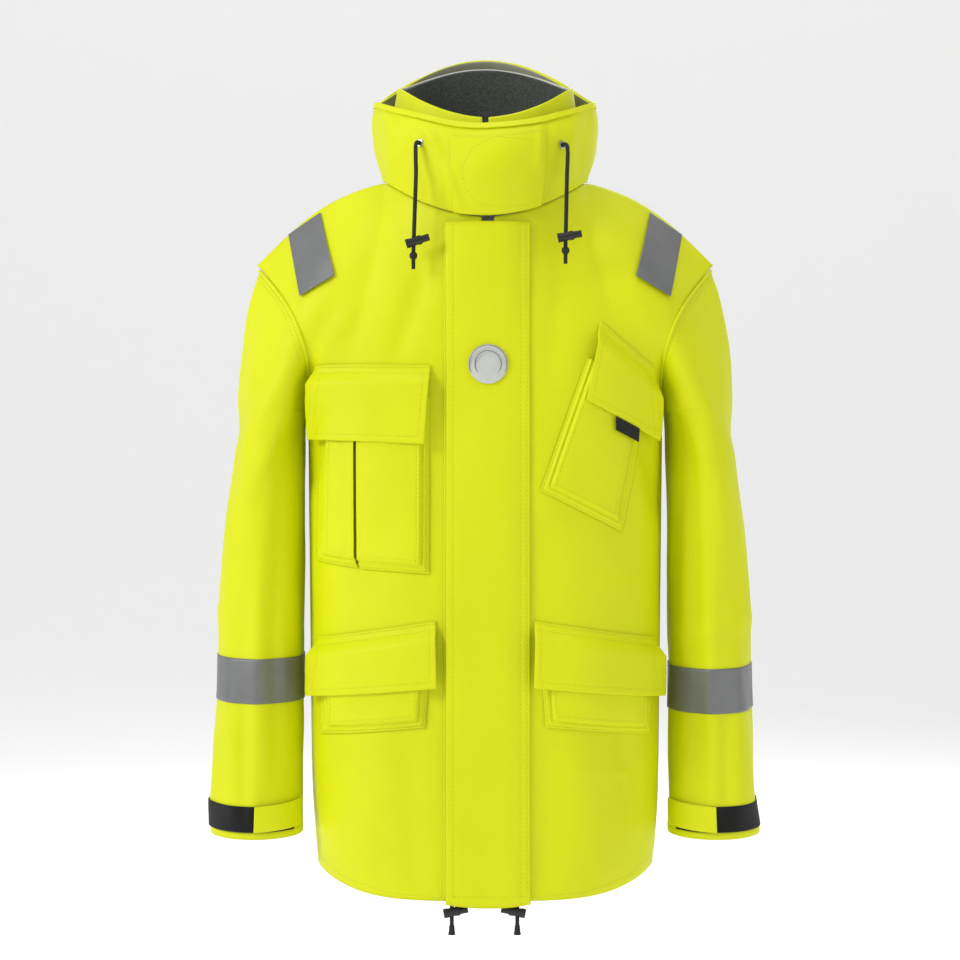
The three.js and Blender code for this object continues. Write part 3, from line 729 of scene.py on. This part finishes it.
frontPieces = {
    # piece: its CAD node, whether it is a pocket or a flap, and a pocket's closed sides: high x, low x
    "chestPocketRight": {"node": "chest_pocket_right", "kind": "pocket", "closed": (True, False)},
    "slitPocketRight": {"node": "slit_pocket_right", "kind": "pocket", "closed": (False, True)},
    "chestPocketLeft": {"node": "chest_pocket_left", "kind": "pocket", "closed": (True, True)},
    "hipPocketRight": {"node": "hip_pocket_right", "kind": "pocket", "closed": (True, True)},
    "hipPocketLeft": {"node": "hip_pocket_left", "kind": "pocket", "closed": (True, True)},
    "chestFlapRight": {"node": "chest_flap_right", "kind": "flap"},
    "chestFlapLeft": {"node": "chest_flap_left", "kind": "flap"},
    "hipFlapRight": {"node": "hip_flap_right", "kind": "flap"},
    "hipFlapLeft": {"node": "hip_flap_left", "kind": "flap"},
}


def layFrontPiece(name, piece):
    corners = cornersOf(piece["node"])
    bm = smoothed(outerFace(piece["node"], bodyAxis))
    halveLong(bm, 2.2 * mm)
    if piece["kind"] == "pocket":
        lift = pocketLift(corners, piece["closed"])
    else:
        lift = flapLift(corners)
    layOn(bm, bodyTree, lift, fromBody)
    sheets[name] = bm


for pieceName, pieceValues in frontPieces.items():
    layFrontPiece(pieceName, pieceValues)
print("pockets and flaps", {n: len(b.faces) for n, b in sheets.items()})


# Sleeves, hood, collar and the smaller pieces, each moved the way the cloth below it is

sleeveFolds = [
    (-262, -330, -300, -560, 15, 4.2), (-232, -360, -236, -700, 12, -3.6),
    (-290, -420, -282, -740, 11, 3.4), (-255, -480, -262, -770, 10, 3.2),
    (-222, -300, -268, -400, 11, 3.4), (-240, -250, -292, -330, 12, -3.2),
    (-225, -560, -296, -530, 11, 2.0), (-275, -640, -270, -780, 9, -2.6),
    (258, -330, 298, -560, 15, 4.2), (230, -360, 236, -700, 12, -3.6),
    (292, -420, 284, -740, 11, 3.4), (252, -480, 260, -770, 10, 3.2),
    (220, -300, 266, -400, 11, 3.4), (242, -250, 290, -330, 12, -3.2),
    (224, -560, 296, -536, 11, 2.0), (272, -640, 268, -780, 9, -2.6),
]


def sleeveField(spot, normal):
    slow = noise.noise(Vector((spot.x * 16, spot.y * 16, spot.z * 4.4 + 9)))
    quick = noise.noise(Vector((spot.x * 42, spot.y * 42, spot.z * 20)))
    calm = ease(abs(spot.x), 0.235, 0.29) if spot.z > -0.3 else 1
    low = 1 - 0.75 * ease(-spot.z, 0.74, 0.778)
    mid = noise.noise(Vector((spot.x * 34, spot.y * 34, spot.z * 9)))
    move = (slow * 5.0 * mm + mid * 2.4 * mm) * calm + quick * 0.8 * mm
    return (move + foldHeight(spot, sleeveFolds)) * low


hoodFolds = [
    (-60, 5, -30, -70, 5, 2.2), (-96, 20, -66, -60, 6, -2.4), (-78, 22, -58, -2, 5, 2.0),
    (-112, 30, -104, -30, 7, 2.6), (-48, -20, -44, -74, 5, -1.6), (70, 18, 74, -64, 6, -2.2),
    (98, 26, 92, -50, 6, 2.2), (118, 34, 106, -30, 6, -2.2), (62, 10, 60, -30, 5, 1.6),
]


def neckField(spot, normal):
    slow = noise.noise(Vector((spot.x * 15, spot.y * 15, spot.z * 15 + 2)))
    quick = noise.noise(Vector((spot.x * 48, spot.y * 48, spot.z * 30)))
    front = 1 if spot.y < -0.04 else 0.6
    folds = foldHeight(spot, hoodFolds) if spot.y < 0 else 0
    return slow * 3.4 * mm * front + quick * 0.7 * mm + folds


# How far from its edges a layer is held still by its seams
seamCalm = {"sleeve_right": 26 * mm, "sleeve_left": 26 * mm, "hood_shell": 9 * mm}
copied = {
    # CAD node: the middle that it faces away from, how it creases, and its longest edge in mm
    "sleeve_right": (sleeveAxis, sleeveField, 5.0), "sleeve_left": (sleeveAxis, sleeveField, 5.0),
    "hood_shell": (neckAxis, neckField, 4.0), "hood_brim": (neckAxis, neckField, 3.0),
    "collar_shell": (neckAxis, neckField, 3.5), "collar_lining": (neckAxis, neckField, 3.5),
    "hem_channel": (bodyAxis, bodyField, 5.0), "inner_placket": (bodyAxis, bodyField, 3.0),
    "placket_loop_strip": (bodyAxis, bodyField, 4.0), "storm_flap": (bodyAxis, bodyField, 2.4),
    "chin_tab": (neckAxis, neckField, 2.0), "shoulder_tape_right": (bodyAxis, bodyField, 3.0),
    "shoulder_tape_left": (bodyAxis, bodyField, 3.0),
    "sleeve_tape_right": (sleeveAxis, sleeveField, 3.5),
    "sleeve_tape_left": (sleeveAxis, sleeveField, 3.5),
    "cuff_strip_right": (sleeveAxis, sleeveField, 3.0),
    "cuff_strip_left": (sleeveAxis, sleeveField, 3.0),
    "cuff_tab_right": (sleeveAxis, sleeveField, 2.5),
    "cuff_tab_left": (sleeveAxis, sleeveField, 2.5),
    "flap_pull_tab": (bodyAxis, bodyField, 2.0),
}


def copyLayer(node, centre, field, longest):
    bm = smoothed(outerFace(node, centre))
    halveLong(bm, longest * mm)
    displace(bm, field, seamCalm.get(node, 0))
    if node == "storm_flap":
        for v in bm.verts:
            v.co.y -= stormLift(v)
        bm.normal_update()
    sheets[node] = bm


for nodeName, copyValues in copied.items():
    copyLayer(nodeName, *copyValues)
print("layers", {n: len(b.faces) for n, b in sheets.items()})

# Which piece goes where, and what it is made of

turns = {
    # piece: the two bodies, and the points between which it bends
    "sleeve_right": ("torso", "right_sleeve", (-0.2676, 0, -0.0976), (-0.3333, 0, -0.1216)),
    "sleeve_left": ("torso", "left_sleeve", (0.2676, 0, -0.0976), (0.3333, 0, -0.1216)),
    "storm_flap": ("torso", "front_flap", (0.0504, -0.138, -0.51), (0.0404, -0.138, -0.51)),
    "chin_tab": ("torso", "chin_tab", (0.0705, -0.1185, -0.03), (0.0585, -0.1185, -0.03)),
    "chestFlapRight": ("torso", "right_chest_flap",
                       (-0.1256, -0.1146, -0.2504), (-0.1256, -0.1146, -0.2624)),
    "chestFlapLeft": ("torso", "left_chest_flap",
                      (0.1595, -0.1036, -0.227), (0.1519, -0.1036, -0.2362)),
    "hipFlapRight": ("torso", "right_hip_flap",
                     (-0.1239, -0.1254, -0.5453), (-0.1239, -0.1254, -0.5573)),
    "hipFlapLeft": ("torso", "left_hip_flap",
                    (0.1239, -0.1254, -0.5453), (0.1239, -0.1254, -0.5573)),
}
finish = {
    # piece: CAD node, material, reverse, thickness in mm, slot, body, flat length in m, how it's held
    "front_panel_right": ("front_panel_right", "shell", "reverse", 1.6, "shell_fabric",
                          "torso", 0.77, "hung"),
    "front_panel_left": ("front_panel_left", "shell", "reverse", 1.6, "shell_fabric", "torso", 0.77, "hung"),
    "back_panel": ("back_panel", "shell", "reverse", 1.6, "shell_fabric", "torso", 0.86, "hung"),
    "sleeve_right": ("sleeve_right", "shell", "reverse", 1.6, "shell_fabric", None, 0.66, "hung"),
    "sleeve_left": ("sleeve_left", "shell", "reverse", 1.6, "shell_fabric", None, 0.66, "hung"),
    "hood_shell": ("hood_shell", "shell", "reverse", 1.6, "shell_fabric", "torso", 0.5, "hung"),
    "hood_brim": ("hood_brim", "shell", "shell", 1.6, "shell_fabric", "torso", 0.5, "stretched"),
    "collar_shell": ("collar_shell", "shell", "reverse", 1.6, "shell_fabric", "torso", 0.5, "stretched"),
    "collar_lining": ("collar_lining", "fleece", None, 2.4, "collar_fleece", "torso", 0.48, "stretched"),
    "hem_channel": ("hem_channel", "reverse", None, 1.2, "shell_fabric", "torso", 0.95, "stretched"),
    "inner_placket": ("inner_placket", "shell", "reverse", 1.2, "shell_fabric", "torso", 0.75, "stretched"),
    "placket_loop_strip": ("placket_loop_strip", "hookAndLoop", None, 1.0, "hook_and_loop",
                           "torso", 0.69, "stretched"),
    "storm_flap": ("storm_flap", "shell", "shell", 2.2, "shell_fabric", None, 0.76, "hung"),
    "chin_tab": ("chin_tab", "shell", "shell", 2.0, "shell_fabric", None, 0.11, "hung"),
    "shoulder_tape_right": ("shoulder_tape_right", "tape", None, 0.6, "reflective_tape",
                            "torso", 0.08, "stretched"),
    "shoulder_tape_left": ("shoulder_tape_left", "tape", None, 0.6, "reflective_tape",
                           "torso", 0.08, "stretched"),
    "sleeve_tape_right": ("sleeve_tape_right", "tape", None, 0.6, "reflective_tape",
                          "right_sleeve", 0.3, "stretched"),
    "sleeve_tape_left": ("sleeve_tape_left", "tape", None, 0.6, "reflective_tape",
                         "left_sleeve", 0.3, "stretched"),
    "cuff_strip_right": ("cuff_strip_right", "hookAndLoop", None, 1.2, "hook_and_loop",
                         "right_sleeve", 0.1, "stretched"),
    "cuff_strip_left": ("cuff_strip_left", "hookAndLoop", None, 1.2, "hook_and_loop",
                        "left_sleeve", 0.1, "stretched"),
    "cuff_tab_right": ("cuff_tab_right", "shell", "shell", 2.0, "shell_fabric",
                       "right_cuff_tab", 0.07, "hung"),
    "cuff_tab_left": ("cuff_tab_left", "shell", "shell", 2.0, "shell_fabric", "left_cuff_tab", 0.07, "hung"),
    "flap_pull_tab": ("flap_pull_tab", "webbing", None, 1.2, "webbing", "left_chest_flap", 0.025, "hung"),
    "chestPocketRight": ("chest_pocket_right", "shell", "reverse", 1.2, "shell_fabric",
                         "torso", 0.2, "stretched"),
    "slitPocketRight": ("slit_pocket_right", "shell", "reverse", 1.2, "shell_fabric",
                        "torso", 0.19, "stretched"),
    "chestPocketLeft": ("chest_pocket_left", "shell", "reverse", 1.2, "shell_fabric",
                        "torso", 0.18, "stretched"),
    "hipPocketRight": ("hip_pocket_right", "shell", "reverse", 1.2, "shell_fabric",
                       "torso", 0.12, "stretched"),
    "hipPocketLeft": ("hip_pocket_left", "shell", "reverse", 1.2, "shell_fabric", "torso", 0.12, "stretched"),
    "chestFlapRight": ("chest_flap_right", "shell", "shell", 2.0, "shell_fabric", None, 0.13, "hung"),
    "chestFlapLeft": ("chest_flap_left", "shell", "shell", 2.0, "shell_fabric", None, 0.09, "hung"),
    "hipFlapRight": ("hip_flap_right", "shell", "shell", 2.0, "shell_fabric", None, 0.14, "hung"),
    "hipFlapLeft": ("hip_flap_left", "shell", "shell", 2.0, "shell_fabric", None, 0.14, "hung"),
}
plain = {
    # CAD nodes that are hard, or too small to hang: their material
    "zip_chain_left": "plastic", "zip_chain_right": "plastic", "zip_box": "metal",
    "zip_slider": "metal", "zip_puller": "metal",
    "hood_eyelet_right": "metal", "hood_eyelet_left": "metal",
    "hood_lock_right_barrel": "plastic", "hood_lock_right_button": "plastic",
    "hood_lock_left_barrel": "plastic", "hood_lock_left_button": "plastic",
    "hem_lock_right_barrel": "plastic", "hem_lock_right_button": "plastic",
    "hem_lock_left_barrel": "plastic", "hem_lock_left_button": "plastic",
}
trees, rims = {}, {}


def rimsOf(bm):
    # The edges of a sheet, each as a closed line of points
    left, found = dict.fromkeys(e for e in bm.edges if e.is_boundary), []
    while left:
        edge = next(iter(left))
        del left[edge]
        first, here = edge.verts
        line = [first.co.copy()]
        while here is not first:
            line.append(here.co.copy())
            edge = next((e for e in here.link_edges if e in left), None)
            if not edge:
                break
            del left[edge]
            here = edge.other_vert(here)
        found.append(line)
    return found


def finishSheet(name, values):
    node, material, reverse, thick, slotName, body, long, held = values
    trees[name] = treeOf(name)
    bm = sheets[name]
    rims[name] = rimsOf(bm)
    area = sum(face.calc_area() for face in bm.faces)
    obj = put(bm, name + "Cloth", material)
    if reverse:
        obj.data.materials.append(materials[reverse])
    wall = obj.modifiers.new("thickness", "SOLIDIFY")
    wall.thickness = thick * mm
    wall.offset = -1
    wall.material_offset = 1 if reverse else 0
    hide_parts(node)
    if body:
        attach(obj, body)
    else:
        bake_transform(obj)


for pieceName, finishValues in finish.items():
    finishSheet(pieceName, finishValues)
for nodeName, materialName in plain.items():
    nodes[nodeName].data.materials.clear()
    nodes[nodeName].data.materials.append(materials[materialName])


print("pieces")

# Seams and stitches

bead = {"long": 2.7 * mm, "wide": 0.8 * mm, "high": 0.6 * mm, "pitch": 4.3 * mm}
pattern = bmesh.new()
bmesh.ops.create_icosphere(pattern, subdivisions=1, radius=1)
beadVerts = [v.co.copy() for v in pattern.verts]
beadFaces = [[v.index for v in f.verts] for f in pattern.faces]
pattern.free()


def stitchObject(name, host, runs):
    # runs: lines of (spot, normal) pairs
    verts, polygons = [], []
    for run in runs:
        travelled, wanted = 0.0, 0.0
        for (here, normal), (there, _) in zip(run, run[1:]):
            along = there - here
            travelled += along.length
            if travelled < wanted or along.length < 1e-6:
                continue
            wanted = travelled + bead["pitch"]
            along.normalize()
            across = normal.cross(along).normalized()
            start = len(verts)
            verts += [here + along * c.x * bead["long"] / 2 + across * c.y * bead["wide"] / 2
                      + normal * (c.z * bead["high"] / 2 + 0.1 * mm) for c in beadVerts]
            polygons += [[i + start for i in face] for face in beadFaces]
    mesh = bpy.data.meshes.new(name)
    mesh.from_pydata(verts, [], polygons)
    obj = bpy.data.objects.new(name, mesh)
    bpy.context.scene.collection.objects.link(obj)
    mesh.materials.append(materials["thread"])
    mesh.shade_smooth()
    if host in turns:
        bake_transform(obj)
    else:
        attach(obj, finish[host][5])


def flatRun(host, points):
    # A line over the front of a piece, through points in x and z in mm
    line, _ = evenly([Vector((x, 0, z)) * mm for x, z in points], 1 * mm)
    run = []
    for spot in line:
        hit, normal, _, _ = trees[host].ray_cast(Vector((spot.x, -0.6, spot.z)), Vector((0, 1, 0)))
        if hit:
            run.append((hit, normal if normal.y < 0 else -normal))
    return run


def insetRun(host, node, side, inset, trim=6):
    corners = [Vector((x, 0, z)) / mm for x, z in cornersOf(node)]
    a, b = corners[side], corners[(side + 1) % 4]
    along = (b - a).normalized()
    inward = Vector((-along.z, 0, along.x)) * inset
    a, b = a + inward + along * trim, b + inward - along * trim
    return flatRun(host, [(a.x, a.z), (b.x, b.z)])


def nearRun(host, line, shift, outward):
    run = []
    for spot in line:
        hit, normal, _, _ = trees[host].find_nearest(spot + shift)
        run.append((hit, normal if normal.dot(outward(hit)) > 0 else -normal))
    return run


flapCorner = 9
for host, node in (("chestFlapRight", "chest_flap_right"), ("chestFlapLeft", "chest_flap_left"),
                   ("hipFlapRight", "hip_flap_right"), ("hipFlapLeft", "hip_flap_left")):
    stitchObject(host + "Stitches", host, [
        insetRun(host, node, 2, 2.4, 3), insetRun(host, node, 2, 9, 3),
        insetRun(host, node, 0, 7.5, flapCorner), insetRun(host, node, 1, 7.5, flapCorner),
        insetRun(host, node, 3, 7.5, flapCorner),
    ])
pocketSides = {
    "chestPocketRight": ("chest_pocket_right", (0, 1)), "slitPocketRight": ("slit_pocket_right", (0, 3)),
    "chestPocketLeft": ("chest_pocket_left", (0, 1, 3)), "hipPocketRight": ("hip_pocket_right", (0, 1, 3)),
    "hipPocketLeft": ("hip_pocket_left", (0, 1, 3)),
}
for host, (node, sides) in pocketSides.items():
    stitchObject(host + "Stitches", host, [insetRun(host, node, side, 2.2, 3) for side in sides]
                 + [insetRun(host, node, side, 14, 14) for side in sides])
stitchObject("stormFlapStitches", "storm_flap", [
    flatRun("storm_flap", [(-35.5, -96), (-35.5, -838)]), flatRun("storm_flap", [(39, -96), (39, -838)]),
    flatRun("storm_flap", [(46, -96), (46, -838)]), flatRun("storm_flap", [(-34, -836), (45, -836)]),
])
stitchObject("chinTabStitches", "chin_tab", [
    flatRun("chin_tab", [
        (56, -2), (10, 1), (-14, -12), (-27, -34), (-22, -58), (-8, -73), (20, -76), (52, -72),
    ]),
])
for side, host in ((-1, "front_panel_right"), (1, "front_panel_left")):
    stitchObject(host + "HemStitches", host, [
        flatRun(host, [(side * 52, -838), (side * 110, -834), (side * 160, -820), (side * 184, -805)]),
    ])
capOut = Vector((170, 0, -62)).normalized()  # across the armhole, out along the sleeve
armholeSeam = 2.1 * mm


def makeTube(name, line, radius, material, body):
    sides = 10
    verts, polygons = [], []
    count = len(line)
    for k, spot in enumerate(line):
        along = (line[(k + 1) % count] - line[k - 1]).normalized()
        axis = along.orthogonal().normalized() if k == 0 else (axis - along * axis.dot(along)).normalized()
        other = along.cross(axis)
        for i in range(sides):
            turn = 2 * math.pi * i / sides
            verts.append(spot + (axis * math.cos(turn) + other * math.sin(turn)) * radius)
    for k in range(count - 1):
        for i in range(sides):
            a, b = k * sides + i, k * sides + (i + 1) % sides
            polygons.append([a, b, b + sides, a + sides])
    bm = bmesh.new()
    mesh = bpy.data.meshes.new(name)
    mesh.from_pydata(verts, [], polygons)
    bm.from_mesh(mesh)
    bpy.data.meshes.remove(mesh)
    bmesh.ops.holes_fill(bm, edges=[e for e in bm.edges if e.is_boundary], sides=0)
    bmesh.ops.recalc_face_normals(bm, faces=bm.faces)
    obj = put(bm, name, material)
    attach(obj, body)


for side, host in ((-1, "sleeve_right"), (1, "sleeve_left")):
    out = Vector((side * capOut.x, 0, capOut.z))
    loops = rims[host]
    loops.sort(key=lambda loop: -sum(p.z for p in loop) / len(loop))
    armhole, _ = evenly(loops[0] + loops[0][:1], 1.5 * mm)
    cuff, _ = evenly(loops[-1] + loops[-1][:1], 1.5 * mm)
    up = Vector((0, 0, 1))
    stitchObject(host + "Stitches", host, [
        nearRun(host, armhole, out * 4 * mm, fromSleeve), nearRun(host, armhole, out * 10 * mm, fromSleeve),
        nearRun(host, cuff, up * 7 * mm, fromSleeve),
    ])
    makeTube(host + "Seam", armhole, armholeSeam, "shell", "torso")
badge = {
    "x": 3 * mm, "y": -130.6 * mm, "z": -250.5 * mm, "lean": -0.0505,
    "rings": (20.8 * mm, 14.6 * mm), "line": 0.45 * mm,
}
for k, ringRadius in enumerate(badge["rings"]):
    ring = [Vector((badge["x"] + math.cos(t * math.pi / 60) * ringRadius,
                    badge["y"] + math.sin(t * math.pi / 60) * ringRadius * badge["lean"],
                    badge["z"] + math.sin(t * math.pi / 60) * ringRadius)) for t in range(121)]
    makeTube("badgeRing" + str(k + 1), ring, badge["line"], "tape", "front_flap")
print("stitches")

# Floor, under the lowest point of the CAD


stage = {"back": 3.2, "wide": 16, "front": 10, "bend": 2.4, "high": 12}


def makeStage():
    # The floor, which bends up into the wall behind
    ground = cadLow[2] - floorDrop
    profile = [(-stage["front"], ground)]
    for k in range(17):
        turn = math.pi / 2 * k / 16
        profile.append((stage["back"] + stage["bend"] * math.sin(turn),
                        ground + stage["bend"] * (1 - math.cos(turn))))
    profile.append((stage["back"] + stage["bend"], ground + stage["high"]))
    bm = bmesh.new()
    rows = [[bm.verts.new((side * stage["wide"], y, z)) for side in (-1, 1)] for y, z in profile]
    for (a, b), (c, d) in zip(rows, rows[1:]):
        bm.faces.new((a, b, d, c)).smooth = True
    mesh = bpy.data.meshes.new("floor")
    bm.to_mesh(mesh)
    bm.free()
    obj = bpy.data.objects.new("floor", mesh)
    bpy.context.scene.collection.objects.link(obj)
    material = bpy.data.materials.new("floor")
    material.use_nodes = True
    shader = material.node_tree.nodes["Principled BSDF"]
    shader.inputs["Base Color"].default_value = (0.9, 0.9, 0.9, 1)
    shader.inputs["Roughness"].default_value = 0.9
    shader.inputs["Emission Color"].default_value = (1, 1, 1, 1)
    shader.inputs["Emission Strength"].default_value = 0.25
    mesh.materials.append(material)


makeStage()
